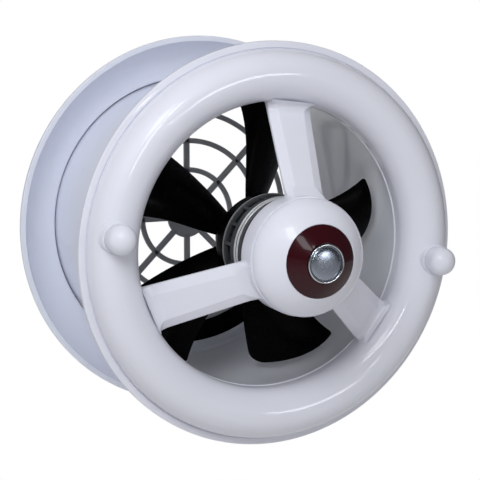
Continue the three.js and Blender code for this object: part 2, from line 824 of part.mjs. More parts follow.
// A cup that is open to the motor and tapers to the rear, with a boss on the shaft.
function impeller() {
  const bore = shaftRadius + fitGap;
  const plateY = hubRearY - impellerHubWall;
  const coneY = hubFrontY + impellerHubSide;
  const inner = impellerHubRadius - impellerHubWall;
  const tailInner = impellerTailRadius - impellerHubWall;
  const shell = revolve(
    [
      [bore, plateY],
      [tailInner, plateY],
      [inner, coneY],
      [inner, hubFrontY],
      [impellerHubRadius, hubFrontY],
      [impellerHubRadius, coneY],
      [impellerTailRadius, plateY],
      [tailInner, hubRearY],
      [bore, hubRearY],
    ],
    hubFacets,
  );
  const half = impellerHubWall / 2;
  const room = revolve(
    [
      [0, hubFrontY],
      [inner + half, hubFrontY],
      [inner + half, coneY],
      [tailInner + half, plateY + half],
      [0, plateY + half],
    ],
    hubFacets,
  );
  const boss = ring(bore, impellerBossRadius, hubRearY - impellerBossDepth, hubRearY - half, coreFacets);
  const trimmedBlade = cut(blade(), [room]);
  const blades = anglesOf(bladeCount, 0).map((angle) => turned(trimmedBlade, angle));
  return join([shell, boss, ...blades]);
}

function impellerNut() {
  const frontY = hubRearY + 2 * fitGap + nutWasherThickness;
  const rearY = frontY + nutThickness;
  const hexagon = bar(nutRadius, frontY, rearY, 0, 6);
  return cut(hexagon, [bar(shaftRadius + fitGap, frontY - cutMargin, rearY + cutMargin, 0, shaftFacets)]);
}

// The assembly
addPiece("front_frame", frontFrame(), white);
addPiece("duct_tube", ductTube(), white);
addPiece("rear_guard", rearGuard(), slate);
addPiece("rain_baffle", rainBaffle(), black);
guardScrewAngles.forEach((angle, index) => {
  // The two lower screws hold the baffle as well.
  const through = index < guardScrewCount / 2 ? 0 : fitGap + baffleThickness;
  const screw = flatScrew(
    guardScrewRadius,
    guardScrewLength + through,
    guardScrewHeadRadius,
    guardScrewHeadHeight,
    guardRearY + fitGap + through,
    1,
    guardScrewPitch,
  );
  addPiece(`guard_screw_${index + 1}`, turned(screw, angle), steel);
});

addPiece("hub_cap", hubCap(), white);
addPiece("trim_ring", trimRing(), maroon);
addPiece("badge_bezel", badgeBezel(), chrome);
addPiece("badge", badge(), chrome);

for (const [side, angle] of Object.entries(knobAngles)) {
  addPiece(`${side}_knob`, turned(knob(), angle), white);
  addPiece(`${side}_knob_stud`, turned(stud(), angle), steel);
  addPiece(`${side}_knob_washer`, turned(studWasher(), angle), steel);
  addPiece(`${side}_lug_insert`, turned(lugInsert(), angle), brass);
}

addPiece("outdoor_ring", outdoorRing(), outdoorWhite);
anglesOf(clampScrewCount, clampScrewFirstAngle).forEach((angle, index) => {
  addPiece(`clamp_screw_${index + 1}`, turned(clampScrew(), angle), steel);
});

addPiece("motor_front_bell", frontBell(), graphite);
addPiece("motor_rear_bell", rearBell(), graphite);
addPiece("stator_core", ring(coreBore, motorRadius - fitGap, coreFrontY, coreRearY, hubFacets), steel);
bandFrontYs.forEach((frontY, index) => {
  const band = ring(motorRadius, motorRadius + bandThickness, frontY, frontY + bandLength, hubFacets);
  addPiece(`stator_band_${index + 1}`, band, silver);
});
addPiece("front_winding", winding(coreFrontY - fitGap - windingLength), copper);
addPiece("rear_winding", winding(coreRearY + fitGap), copper);
addPiece("front_bearing", bearing(bearingFrontY), steel);
addPiece("rear_bearing", bearing(motorRearY - motorWall - bearingWidth), steel);
const motorScrew = flatScrew(
  motorScrewRadius,
  cupWall + 2 * fitGap + motorWall,
  motorScrewHeadRadius,
  motorScrewHeadHeight,
  cupFrontY - fitGap,
  -1,
  motorScrewPitchRadius,
);
motorScrewAngles.forEach((angle, index) => addPiece(`motor_screw_${index + 1}`, turned(motorScrew, angle), steel));
addPiece("run_capacitor", box(capacitorSize, capacitorZ), cream);
addPiece("terminal_block", box(terminalSize, terminalZ), cream);

addPiece("motor_shaft", bar(shaftRadius, shaftFrontY, shaftRearY, 0, shaftFacets), steel);
addPiece("rotor_core", ring(shaftRadius + fitGap, coreBore - airGap, coreFrontY, coreRearY, knobFacets), steel);
addPiece("impeller", impeller(), black);
const nutWasherY = hubRearY + fitGap;
const nutWasher = ring(shaftRadius + fitGap, nutWasherRadius, nutWasherY, nutWasherY + nutWasherThickness, knobFacets);
addPiece("impeller_washer", nutWasher, steel);
addPiece("impeller_nut", impellerNut(), steel);

export default fan;
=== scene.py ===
# Window exhaust fan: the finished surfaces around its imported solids. Metres, +Z up, -Y points into the room.
import json
import math

import bmesh
import bpy
import numpy as np
from mathutils import Matrix, Vector

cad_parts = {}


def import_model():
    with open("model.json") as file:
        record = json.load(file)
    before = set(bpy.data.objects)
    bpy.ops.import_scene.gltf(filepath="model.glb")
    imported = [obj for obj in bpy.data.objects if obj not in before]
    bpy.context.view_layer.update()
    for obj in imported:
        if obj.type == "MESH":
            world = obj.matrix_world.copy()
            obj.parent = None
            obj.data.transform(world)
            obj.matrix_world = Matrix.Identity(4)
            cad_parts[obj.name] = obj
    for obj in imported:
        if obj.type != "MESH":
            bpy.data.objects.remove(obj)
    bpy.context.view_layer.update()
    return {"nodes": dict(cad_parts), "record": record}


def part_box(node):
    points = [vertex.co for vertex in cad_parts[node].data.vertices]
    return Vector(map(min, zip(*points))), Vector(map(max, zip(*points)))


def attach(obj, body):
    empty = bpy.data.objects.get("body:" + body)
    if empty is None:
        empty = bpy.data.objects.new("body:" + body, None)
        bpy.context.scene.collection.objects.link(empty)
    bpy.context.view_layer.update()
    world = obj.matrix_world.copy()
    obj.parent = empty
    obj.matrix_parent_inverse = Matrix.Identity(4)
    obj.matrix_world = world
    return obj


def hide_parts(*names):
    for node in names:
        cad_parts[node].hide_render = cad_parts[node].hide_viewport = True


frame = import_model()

MM = 0.001

# Sizes in millimetres: the solids' own, and those of the small forms that only the finished surfaces have.
# r is a distance from the fan's axis.
RING_R = 175
RING_WALL = 3
DOME_HEIGHT = 21
DOME_INSET = 1.4
DOME_FOOT_R = 168.4
FOOT_GROOVE = 0.8
LIP_THICKNESS = 4
LIP_WIDTH = 8.5
LIP_ROUND = 0.7
THROAT_R = 124.4
THROAT_BEAD = 0.6
THROAT_GROOVE = 0.9
COLLAR_Y = 5.8
CREST_Y = -LIP_THICKNESS - DOME_HEIGHT
PAD_R = 13.3
PAD_Y = CREST_Y - 2
PAD_REAR_Y = CREST_Y + 4.5
BOSS_R = 6.6
BOSS_REAR_Y = -9.8
STUD_BORE = 2.5
KNOB_PITCH = 150.2
KNOB_R = 12.2
KNOB_SKIRT = 9.5
KNOB_DOME = 10.5
WASHER_RECESS = 1.3
WASHER_RECESS_R = 7.8

ARM_ANGLES = (90, 210, 330)
ARM_HUB_HALF = 17.4
ARM_RING_HALF = 20.5
ARM_HUB_FACE = 8.5
ARM_RING_FACE = 12.5
ARM_BEVEL = 4
ARM_SIDE = 3.5
ARM_WALL = 2.6
ARM_HUB_Y = -48.3
ARM_RING_Y = 4.6
ARM_FLARE = 7
ARM_FLARE_SHARE = 0.75

CUP_R = 50
CUP_WALL = 3
CUP_FRONT_Y = -68
CUP_REAR_Y = -48
CAP_R = 49.2
CAP_WALL = 2.5
CAP_FRONT_Y = CUP_FRONT_Y - 0.3
CAP_SIDE_Y = CAP_FRONT_Y - 6.5
TRIM_R = 30.2
TRIM_BORE = 16.4
TRIM_EDGE_Y = CAP_SIDE_Y - 19.5
TRIM_THICKNESS = 2.4
TRIM_BORE_Y = TRIM_EDGE_Y - (TRIM_R - TRIM_BORE) * math.tan(math.radians(36))
BADGE_SEAT_Y = TRIM_BORE_Y + TRIM_THICKNESS
BADGE_R = 13.8
BADGE_CROWN = 1.6
BADGE_EDGE = 2.6
BEZEL_WIDTH = 1.5
BEZEL_HEIGHT = 3.6
SEAT_GAP = 0.3

TUBE_R = 134.2
TUBE_BORE = 131.2
TUBE_REAR_Y = 199
STEP_BORE = 123
GROOVE_Y = 174.5
GROOVE_DEPTH = 1.1
STEP_FRONT_Y = 186.7
STEP_REAR_Y = 189.2
LUG_R = 8
LUG_LENGTH = 8
LUG_WEB = 11
INSERT_R = 3.9

RIM_FRONT_Y = 161.4
RIM_THICKNESS = 3.2
BAND_INNER_R = RING_R - 11.3
BAND_INNER_Y = RIM_FRONT_Y + 8.7
LAND_WIDTH = 4.8
NECK_R = 134.6
SEAM_OPENING = 0.7
BOWL_BEND = 5.65
NECK_FRONT_Y = BAND_INNER_Y + 15.3
OUTDOOR_REAR_Y = 198.4

GUARD_TURN = 7.2
GUARD_FRONT_Y = 189.5
GUARD_REAR_Y = 193
GUARD_RINGS = (45.8, 74, 102)
GUARD_RING_W = 5
GUARD_DISC_R = 20
GUARD_BARS = 8
GUARD_BAR_W = 5.8
GUARD_RIM_R = 130.9
GUARD_RIM_W = 6.2
CRESCENT_THICKNESS = 1.5
CRESCENT_HALF_ANGLE = 52

MOTOR_R = 44.3
MOTOR_FRONT_Y = -64.7
CORE_FRONT_Y = -33.9
CORE_REAR_Y = -17.3
MOTOR_REAR_Y = 2
BELL_WALL = 2.5
FLANGE_LIFT = 0.8
CORE_BORE = 25
BAND_MIDDLES = (-28.4, -23.6)
BAND_HALF = 1.05
VENTS = 16
VENT_FRONT_Y = -14.2
VENT_LENGTH = 11
VENT_WIDTH = 14.6
VENT_REACH = 5

HUB_FRONT_Y = 4.3
HUB_REAR_Y = 63
HUB_R = 43.2
HUB_SIDE = 14
HUB_TAIL_R = 25
HUB_WALL = 2.6
HUB_BORE = 5
SHAFT_BOSS_R = 9
SHAFT_BOSS_BORE = 4.3
SHAFT_BOSS_FRONT_Y = 33
BLADES = 5
BLADE_TIP_R = 123
BLADE_THICKNESS = 2.2

# Facets
RING_SEGMENTS = 256
HUB_SEGMENTS = 160
SMALL_SEGMENTS = 64
SHARP_ANGLE = math.radians(38)

# Camera: the photograph's view, level with the guard's upright bar. Places in metres, lens and sensor in mm.
CAMERA_AZIMUTH = math.radians(-24.09)
CAMERA_ELEVATION = math.radians(8.84)
CAMERA_DISTANCE = 1.37804
CAMERA_ASIDE = -0.02657
CAMERA_LIFT = 0.0044
CAMERA_LENS = 120
SENSOR = 36


def add_camera():
    azimuth, elevation = CAMERA_AZIMUTH, CAMERA_ELEVATION
    right = Vector((math.cos(azimuth), math.sin(azimuth), 0))
    level = Vector((math.sin(azimuth), -math.cos(azimuth), 0))
    back = math.cos(elevation) * level + Vector((0, 0, math.sin(elevation)))
    up = back.cross(right)
    place = CAMERA_DISTANCE * back + CAMERA_ASIDE * right + CAMERA_LIFT * up
    axes = Matrix((right, up, back)).transposed().to_4x4()
    turn = Matrix.Rotation(-math.radians(GUARD_TURN), 4, "Y")
    camera = bpy.data.objects.new("camera", bpy.data.cameras.new("camera"))
    camera.matrix_world = turn @ Matrix.Translation(place) @ axes
    camera.data.lens = CAMERA_LENS
    camera.data.sensor_width = SENSOR
    bpy.context.collection.objects.link(camera)
    bpy.context.scene.camera = camera


add_camera()


# Materials
def material(name, color, roughness, **sockets):
    made = bpy.data.materials.new(name)
    made.use_nodes = True
    shader = made.node_tree.nodes["Principled BSDF"]
    shader.inputs["Base Color"].default_value = (*color, 1)
    shader.inputs["Roughness"].default_value = roughness
    for socket, value in sockets.items():
        shader.inputs[socket.replace("_", " ")].default_value = value
    return made


def noise(made, scale, detail, stretch=(1, 1, 1)):
    nodes, links = made.node_tree.nodes, made.node_tree.links
    place = nodes.new("ShaderNodeTexCoord")
    shape = nodes.new("ShaderNodeMapping")
    shape.inputs["Scale"].default_value = stretch
    texture = nodes.new("ShaderNodeTexNoise")
    texture.inputs["Scale"].default_value = scale
    texture.inputs["Detail"].default_value = detail
    links.new(place.outputs["Object"], shape.inputs["Vector"])
    links.new(shape.outputs["Vector"], texture.inputs["Vector"])
    return texture.outputs["Fac"]


def between(made, value, low, high, socket):
    nodes, links = made.node_tree.nodes, made.node_tree.links
    spread = nodes.new("ShaderNodeMapRange")
    spread.inputs["From Min"].default_value = 0.3
    spread.inputs["From Max"].default_value = 0.7
    spread.inputs["To Min"].default_value = low
    spread.inputs["To Max"].default_value = high
    links.new(value, spread.inputs["Value"])
    links.new(spread.outputs["Result"], nodes["Principled BSDF"].inputs[socket])


def tint(made, value, color_a, color_b):
    nodes, links = made.node_tree.nodes, made.node_tree.links
    ramp = nodes.new("ShaderNodeValToRGB")
    ramp.color_ramp.elements[0].position = 0.35
    ramp.color_ramp.elements[0].color = (*color_a, 1)
    ramp.color_ramp.elements[1].position = 0.65
    ramp.color_ramp.elements[1].color = (*color_b, 1)
    links.new(value, ramp.inputs["Fac"])
    links.new(ramp.outputs["Color"], nodes["Principled BSDF"].inputs["Base Color"])


def bump(made, value, strength, distance):
    nodes, links = made.node_tree.nodes, made.node_tree.links
    relief = nodes.new("ShaderNodeBump")
    relief.inputs["Strength"].default_value = strength
    relief.inputs["Distance"].default_value = distance
    links.new(value, relief.inputs["Height"])
    links.new(relief.outputs["Normal"], nodes["Principled BSDF"].inputs["Normal"])


def outside_of(made, radius, color):
    """Mixes in another colour beyond a distance in metres from the fan's axis."""
    nodes, links = made.node_tree.nodes, made.node_tree.links
    place = nodes.new("ShaderNodeTexCoord")
    flat = nodes.new("ShaderNodeVectorMath")
    flat.operation = "MULTIPLY"
    flat.inputs[1].default_value = (1, 0, 1)
    distance = nodes.new("ShaderNodeVectorMath")
    distance.operation = "LENGTH"
    beyond = nodes.new("ShaderNodeMath")
    beyond.operation = "GREATER_THAN"
    beyond.inputs[1].default_value = radius
    mix = nodes.new("ShaderNodeMixRGB")
    mix.inputs["Color2"].default_value = (*color, 1)
    socket = nodes["Principled BSDF"].inputs["Base Color"]
    links.new(place.outputs["Object"], flat.inputs[0])
    links.new(flat.outputs["Vector"], distance.inputs[0])
    links.new(distance.outputs["Value"], beyond.inputs[0])
    links.new(beyond.outputs["Value"], mix.inputs["Fac"])
    links.new(socket.links[0].from_socket, mix.inputs["Color1"])
    links.new(mix.outputs["Color"], socket)


def shade(color, factor):
    return tuple(channel * factor for channel in color)


def gloss_plastic(name, color, roughness, ripple=0.06, **sockets):
    made = material(name, color, roughness, **sockets)
    tint(made, noise(made, scale=9, detail=3), shade(color, 0.975), color)
    between(made, noise(made, scale=60, detail=4), roughness * 0.85, roughness * 1.2, "Roughness")
    bump(made, noise(made, scale=700, detail=2), strength=ripple, distance=0.0002)
    return made


COOL_WHITE = (0.80, 0.825, 0.93)
WHITE = gloss_plastic(
    "white_plastic", (0.79, 0.797, 0.885), 0.34, Specular_IOR_Level=0.3, Coat_Weight=0.65, Coat_Roughness=0.05
)
OUTDOOR = gloss_plastic("outdoor_plastic", COOL_WHITE, 0.36, Coat_Weight=0.2, Coat_Roughness=0.1)
# The duct's base colour here is darker than its cool white outside. This is painted shade for the shadowed
# inside of the tube. Beyond the mid-wall radius the outside keeps the cool white.
DUCT_SHADED_INSIDE = gloss_plastic("duct_plastic_shaded_inside", (0.77, 0.785, 0.85), 0.36, Coat_Weight=0.7, Coat_Roughness=0.1)
outside_of(DUCT_SHADED_INSIDE, (TUBE_BORE + TUBE_R) / 2 * MM, COOL_WHITE)
BLACK = gloss_plastic("black_plastic", (0.001, 0.001, 0.0013), 0.26, 0.03, Specular_IOR_Level=0.05)
GUARD = gloss_plastic("guard_plastic", (0.44, 0.45, 0.46), 0.5, 0.15)
MAROON = gloss_plastic(
    "maroon_plastic", (0.034, 0.003, 0.006), 0.24, 0.02,
    Specular_IOR_Level=0.1, Coat_Weight=0.45, Coat_Roughness=0.07,
)
CREAM = gloss_plastic("cream_plastic", (0.72, 0.68, 0.58), 0.5)


def metal(name, color, roughness, stretch=(1, 1, 1), strength=0.05, metallic=1):
    made = material(name, color, roughness, Metallic=metallic)
    grain = noise(made, scale=900, detail=3, stretch=stretch)
    between(made, grain, roughness * 0.7, roughness * 1.35, "Roughness")
    bump(made, grain, strength=strength, distance=0.0001)
    return made


ALONG_RING = (0.06, 1, 0.06)
CHROME = metal("chrome", (0.80, 0.82, 0.85), 0.07, strength=0.01)
STEEL = metal("steel", (0.52, 0.54, 0.56), 0.32)
BADGE = metal("badge_metal", (0.40, 0.44, 0.52), 0.24, strength=0.006)
BAND = metal("silver_band", (0.80, 0.81, 0.83), 0.3, ALONG_RING, metallic=0.35)
BRASS = metal("brass", (0.55, 0.38, 0.15), 0.3)
COPPER = metal("copper", (0.50, 0.20, 0.08), 0.35, ALONG_RING, 0.4)


def motor_paint():
    made = material("motor_paint", (0.05, 0.053, 0.058), 0.34)
    tint(made, noise(made, scale=40, detail=4), (0.040, 0.043, 0.048), (0.062, 0.065, 0.071))
    between(made, noise(made, scale=120, detail=3), 0.26, 0.44, "Roughness")
    bump(made, noise(made, scale=1400, detail=2), strength=0.2, distance=0.0002)
    return made


GRAPHITE = motor_paint()
# Beyond the flange radius the rear bell's paint turns light grey. This is a painted highlight along the
# flange's rim.
outside_of(GRAPHITE, (MOTOR_R + FLANGE_LIFT / 2) * MM, (0.2, 0.205, 0.21))
FRONT_BELL = gloss_plastic("front_bell_paint", (0.008, 0.008, 0.010), 0.34)


# Meshes. A geometry is a list of points in millimetres and a list of faces.
def rounded(corners, steps=None):
    """A closed outline with its corners rounded. Each corner is (r, y) or (r, y, radius)."""
    points = []
    count = len(corners)
    for index, corner in enumerate(corners):
        here = Vector(corner[:2])
        radius = corner[2] if len(corner) > 2 else 0
        if not radius:
            points.append(tuple(here))
            continue
        before = Vector(corners[index - 1][:2]) - here
        after = Vector(corners[(index + 1) % count][:2]) - here
        half = before.angle(after) / 2
        reach = min(radius / math.tan(half), 0.48 * before.length, 0.48 * after.length)
        radius = reach * math.tan(half)
        centre = here + (before.normalized() + after.normalized()).normalized() * radius / math.sin(half)
        start = here + before.normalized() * reach - centre
        end = here + after.normalized() * reach - centre
        turn = start.angle_signed(end)
        pieces = steps or max(2, round(abs(math.degrees(turn)) / 15))
        for step in range(pieces + 1):
            points.append(tuple(centre + Matrix.Rotation(-turn * step / pieces, 2) @ start))
    return points


def arc(centre, half_width, height, start, end, steps):
    angles = np.radians(np.linspace(start, end, steps + 1))
    return [(centre[0] + half_width * math.cos(a), centre[1] + height * math.sin(a)) for a in angles]


def curve(start, corner, end, steps=24):
    """Points on a curve that leaves its start towards the corner and reaches its end from there."""
    return [
        tuple((1 - t) ** 2 * a + 2 * t * (1 - t) * b + t ** 2 * c for a, b, c in zip(start, corner, end))
        for t in np.linspace(0, 1, steps + 1)
    ]


def lathe(profile, segments=RING_SEGMENTS, at=(0, 0)):
    """A closed profile of (r, y) turned about the Y axis, or about a line beside it at (x, z)."""
    angles = np.linspace(0, 2 * math.pi, segments, endpoint=False)
    points = [(at[0] + r * math.cos(a), y, at[1] + r * math.sin(a)) for r, y in profile for a in angles]
    faces = []
    for row in range(len(profile)):
        below = row * segments
        above = (row + 1) % len(profile) * segments
        for column in range(segments):
            beside = (column + 1) % segments
            faces.append((below + column, above + column, above + beside, below + beside))
    return points, faces


def grid(rows):
    """A closed skin over rows of points that each go round, with its two ends capped."""
    size = len(rows[0])
    points = [point for row in rows for point in row]
    faces = []
    for row in range(len(rows) - 1):
        for column in range(size):
            beside = (column + 1) % size
            here, there = row * size, (row + 1) * size
            faces.append((here + column, here + beside, there + beside, there + column))
    last = (len(rows) - 1) * size
    faces.append(tuple(range(size))[::-1])
    faces.append(tuple(range(last, last + size)))
    return points, faces


def block(low, high):
    corners = [(x, y, z) for x in (low[0], high[0]) for y in (low[1], high[1]) for z in (low[2], high[2])]
    return corners, [(0, 1, 3, 2), (4, 6, 7, 5), (0, 4, 5, 1), (2, 3, 7, 6), (0, 2, 6, 4), (1, 5, 7, 3)]


def turned(geometry, degrees):
    """Turned about the fan's axis, from +X towards +Z."""
    c, s = math.cos(math.radians(degrees)), math.sin(math.radians(degrees))
    points, faces = geometry
    return [(c * x - s * z, y, s * x + c * z) for x, y, z in points], faces


def together(*geometries):
    points, faces = [], []
    for some_points, some_faces in geometries:
        start = len(points)
        points.extend(some_points)
        faces.extend(tuple(start + index for index in face) for face in some_faces)
    return points, faces


def around(geometry, count, first=0):
    return [turned(geometry, first + 360 / count * index) for index in range(count)]


def to_object(name, geometry):
    points, faces = geometry
    mesh = bpy.data.meshes.new(name)
    mesh.from_pydata([Vector(point) * MM for point in points], [], faces)
    work = bmesh.new()
    work.from_mesh(mesh)
    bmesh.ops.remove_doubles(work, verts=work.verts, dist=1e-6)
    bmesh.ops.dissolve_degenerate(work, edges=work.edges, dist=1e-6)
    bmesh.ops.recalc_face_normals(work, faces=work.faces)
    work.to_mesh(mesh)
    work.free()
    thing = bpy.data.objects.new(name, mesh)
    bpy.context.collection.objects.link(thing)
    return thing


def carve(thing, geometry):
    """Cuts a geometry out of an object's mesh."""
    cutter = to_object("cutter", geometry)
    step = thing.modifiers.new("cut", "BOOLEAN")
    step.object = cutter
    step.operation = "DIFFERENCE"
    step.solver = "EXACT"
    bpy.context.view_layer.update()
    carved = bpy.data.meshes.new_from_object(thing.evaluated_get(bpy.context.evaluated_depsgraph_get()))
    thing.modifiers.clear()
    thing.data = carved
    bpy.data.objects.remove(cutter)


def piece(name, geometry, look, body, replaced, cuts=None):
    thing = to_object(name, geometry)
    if cuts:
        carve(thing, cuts)
    for polygon in thing.data.polygons:
        polygon.use_smooth = True
    thing.data.set_sharp_from_angle(angle=SHARP_ANGLE)
    thing.data.materials.clear()
    thing.data.materials.append(look)
    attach(thing, body)
    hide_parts(*replaced)
    return thing


# Front frame
DOME_CENTRE = (THROAT_R + RING_R - DOME_INSET) / 2
DOME_HALF = (RING_R - DOME_INSET - THROAT_R) / 2


def front_ring():
    inner, outer = THROAT_R + RING_WALL, RING_R - LIP_WIDTH
    hollow = arc(((inner + outer) / 2, 0), (outer - inner) / 2, -CREST_Y - RING_WALL, 0, -180, 48)
    centre = DOME_CENTRE, -LIP_THICKNESS
    inside = arc(centre, DOME_HALF, DOME_HEIGHT, 180, 270, 40)
    outside = arc(centre, DOME_FOOT_R - DOME_CENTRE, DOME_HEIGHT, 270, 353, 36)[1:]
    foot_r, foot_y = DOME_FOOT_R + FOOT_GROOVE, FOOT_GROOVE - LIP_THICKNESS
    foot = [(DOME_FOOT_R, foot_y), (foot_r, foot_y), (foot_r, foot_y - 0.5), (foot_r + 0.3, -LIP_THICKNESS)]
    lip = arc((RING_R - LIP_ROUND, LIP_ROUND - LIP_THICKNESS), LIP_ROUND, LIP_ROUND, -90, 0, 4)
    bead = arc((THROAT_R + THROAT_BEAD / 2, COLLAR_Y - THROAT_BEAD), THROAT_BEAD, THROAT_BEAD, 90, 270, 10)
    groove_r = THROAT_R + THROAT_GROOVE
    groove = [(groove_r, COLLAR_Y - 1.5), (groove_r, COLLAR_Y - 2.6), (THROAT_R, COLLAR_Y - 3.5)]
    return lathe([*bead, *groove, *inside, *outside, *foot, *lip, (RING_R, 0), *hollow, (inner, COLLAR_Y)])


def arm_outline(x, swell_side, swell_front):
    """An arm's section at a distance x along it: a tray that is open to the rear."""
    share = (x - CUP_R) / (THROAT_R - CUP_R)
    half = ARM_HUB_HALF + share * (ARM_RING_HALF - ARM_HUB_HALF)
    face = ARM_HUB_FACE + share * (ARM_RING_FACE - ARM_HUB_FACE)
    near_end = min(x - CUP_R, THROAT_R - x) / ARM_FLARE
    flare = ARM_FLARE_SHARE * min(1, max(0, 1 - near_end))
    face += (half - face) * flare
    depth = ARM_SIDE + ARM_BEVEL + swell_front
    side = ARM_SIDE + 0.7 * swell_front
    wide = half + swell_side
    broad = face + swell_side
    inner = half - ARM_WALL
    floor = ARM_SIDE + ARM_BEVEL - ARM_WALL
    ledge, flat = ARM_SIDE - ARM_WALL / 2, face - ARM_WALL / 2
    return rounded([
        (-wide, 0, 0.5), (-inner, 0, 0.5), (-inner, ledge, 0.6), (-flat, floor, 0.6),
        (flat, floor, 0.6), (inner, ledge, 0.6), (inner, 0, 0.5), (wide, 0, 0.5),
        (wide, side, 1.2), (broad, depth, 2.4), (-broad, depth, 2.4), (-wide, side, 1.2),
    ], 5)


def fillet(distance, radius):
    """How far a rounded joint stands out at a distance from the wall that it meets."""
    if distance >= radius:
        return 0
    return radius - math.sqrt(radius ** 2 - (radius - max(distance, 0)) ** 2)


HUB_SIDE_FILLET = 1.6
HUB_FACE_FILLET = 9
RING_SIDE_FILLET = 2.6
RING_FACE_FILLET = 8
ARM_SLOPE = (ARM_RING_Y - ARM_HUB_Y) / (THROAT_R - CUP_R)


def arm_face(radius):
    """How far an arm's face stands ahead of the seating plane."""
    return ARM_SIDE + ARM_BEVEL - ARM_HUB_Y - ARM_SLOPE * (radius - CUP_R)


def dome_round(radius):
    """A round of this radius between an arm's face and the dome: its centre, and its ends along r."""
    lean = math.hypot(1, ARM_SLOPE)
    best = None
    for turn in np.linspace(0.01, 1.2, 2000):
        depth = LIP_THICKNESS + DOME_HEIGHT * math.sin(turn)
        point = Vector((DOME_CENTRE - DOME_HALF * math.cos(turn), depth))
        out = Vector((-math.cos(turn) / DOME_HALF, math.sin(turn) / DOME_HEIGHT)).normalized()
        centre = point + radius * out
        error = abs((centre.y - arm_face(centre.x)) / lean - radius)
        if best is None or error < best[0]:
            best = (error, centre, centre.x - radius * ARM_SLOPE / lean, point.x)
    return best[1:]


def arm():
    def clustered(start, end, count):
        return start + (end - start) * (1 - np.cos(np.linspace(0, math.pi, count))) / 2

    centre, first, last = dome_round(RING_FACE_FILLET)
    rows = []
    for radius in clustered(CUP_R - CUP_WALL / 2, last, 110):
        side = fillet(radius - CUP_R, HUB_SIDE_FILLET) + fillet(THROAT_R - radius, RING_SIDE_FILLET)
        front = fillet(radius - CUP_R, HUB_FACE_FILLET)
        if radius > first:
            front += centre.y - math.sqrt(RING_FACE_FILLET ** 2 - (radius - centre.x) ** 2) - arm_face(radius)
        swells = side, front
        outline = arm_outline(radius, *swells)
        across = [point[0] for point in outline]
        row = []
        for index in range(len(outline)):
            for _ in range(2):
                x = math.sqrt(radius ** 2 - across[index] ** 2)
                across[index] = arm_outline(x, *swells)[index][0]
            x = math.sqrt(radius ** 2 - across[index] ** 2)
            width, depth = arm_outline(x, *swells)[index]
            rear = ARM_HUB_Y + ARM_SLOPE * (x - CUP_R)
            row.append((x, rear - depth, width))
        rows.append(row)
    return grid(rows)


def hub_cup():
    inner, floor_y = CUP_R - CUP_WALL, CUP_FRONT_Y + CUP_WALL
    return lathe(rounded([
        (0, CUP_FRONT_Y), (CUP_R, CUP_FRONT_Y, 0.2), (CUP_R, CUP_REAR_Y, 1.2), (inner, CUP_REAR_Y, 0.5),
        (inner, floor_y), (0, floor_y),
    ]), HUB_SEGMENTS)


def knob_pad(side):
    foot_y = CREST_Y + 1.5
    top = rounded([
        (STUD_BORE, PAD_REAR_Y), (PAD_R + 1.2, PAD_REAR_Y), (PAD_R, foot_y, 1.5), (PAD_R, PAD_Y, 0.9),
        (STUD_BORE, PAD_Y),
    ][::-1])
    boss = rounded([
        (STUD_BORE, foot_y), (BOSS_R, foot_y), (BOSS_R, BOSS_REAR_Y, 0.4), (STUD_BORE, BOSS_REAR_Y),
    ])
    place = (side * KNOB_PITCH, 0)
    return together(lathe(top[::-1], SMALL_SEGMENTS, place), lathe(boss, SMALL_SEGMENTS, place))


def front_frame():
    arms = [turned(arm(), angle) for angle in ARM_ANGLES]
    shape = together(front_ring(), hub_cup(), *arms, knob_pad(-1), knob_pad(1))
    piece("front_frame_shell", shape, WHITE, "housing", ["front_frame"])


front_frame()


# Hub nose
def hub_cap():
    recess = TRIM_R + SEAT_GAP
    floor_y = BADGE_SEAT_Y + SEAT_GAP
    bore, foot_y = CAP_R - CAP_WALL, CAP_FRONT_Y + 0.1
    shoulder = curve(
        (recess + 0.5, TRIM_EDGE_Y), (CAP_R - 2.5, (CAP_SIDE_Y + TRIM_EDGE_Y) / 2), (CAP_R - 0.2, CAP_SIDE_Y)
    )
    profile = [
        (0, floor_y), (TRIM_BORE, floor_y), (recess, TRIM_EDGE_Y + 2.7), (recess, TRIM_EDGE_Y + 0.3),
        *shoulder, (CAP_R, CAP_SIDE_Y + 0.4), (CAP_R, CAP_FRONT_Y - 0.4), (CAP_R - 0.4, foot_y),
        (bore, foot_y), (bore, CAP_SIDE_Y), (recess + 3, TRIM_EDGE_Y + 7), (recess, TRIM_EDGE_Y + 5.8),
        (0, BADGE_SEAT_Y + 3.4),
    ]
    piece("hub_cap_shell", lathe(profile, HUB_SEGMENTS), WHITE, "housing", ["hub_cap"])


def trim_ring():
    profile = rounded([
        (TRIM_BORE, TRIM_BORE_Y, 0.5), (TRIM_R, TRIM_EDGE_Y, 0.5), (TRIM_R, TRIM_EDGE_Y + TRIM_THICKNESS),
        (TRIM_BORE, TRIM_BORE_Y + TRIM_THICKNESS),
    ])
    piece("trim_cone", lathe(profile, HUB_SEGMENTS), MAROON, "housing", ["trim_ring"])


def badge():
    outer, rear = TRIM_BORE - SEAT_GAP, BADGE_SEAT_Y
    inner, front = outer - BEZEL_WIDTH, rear - BEZEL_HEIGHT
    bezel = rounded([(inner, front, 0.7), (outer, front, 0.7), (outer, rear), (inner, rear)])
    piece("badge_ring", lathe(bezel, HUB_SEGMENTS), CHROME, "housing", ["badge_bezel"])
    edge = rear - BADGE_EDGE
    dome = arc((0, edge), BADGE_R - 1.2, BADGE_CROWN, -90, -20, 20)
    profile = [*dome, (BADGE_R - 0.5, edge - 0.2), (BADGE_R, edge + 0.3), (BADGE_R, rear), (0, rear)]
    piece("badge_disc", lathe(profile, HUB_SEGMENTS), BADGE, "housing", ["badge"])


hub_cap()
trim_ring()
badge()


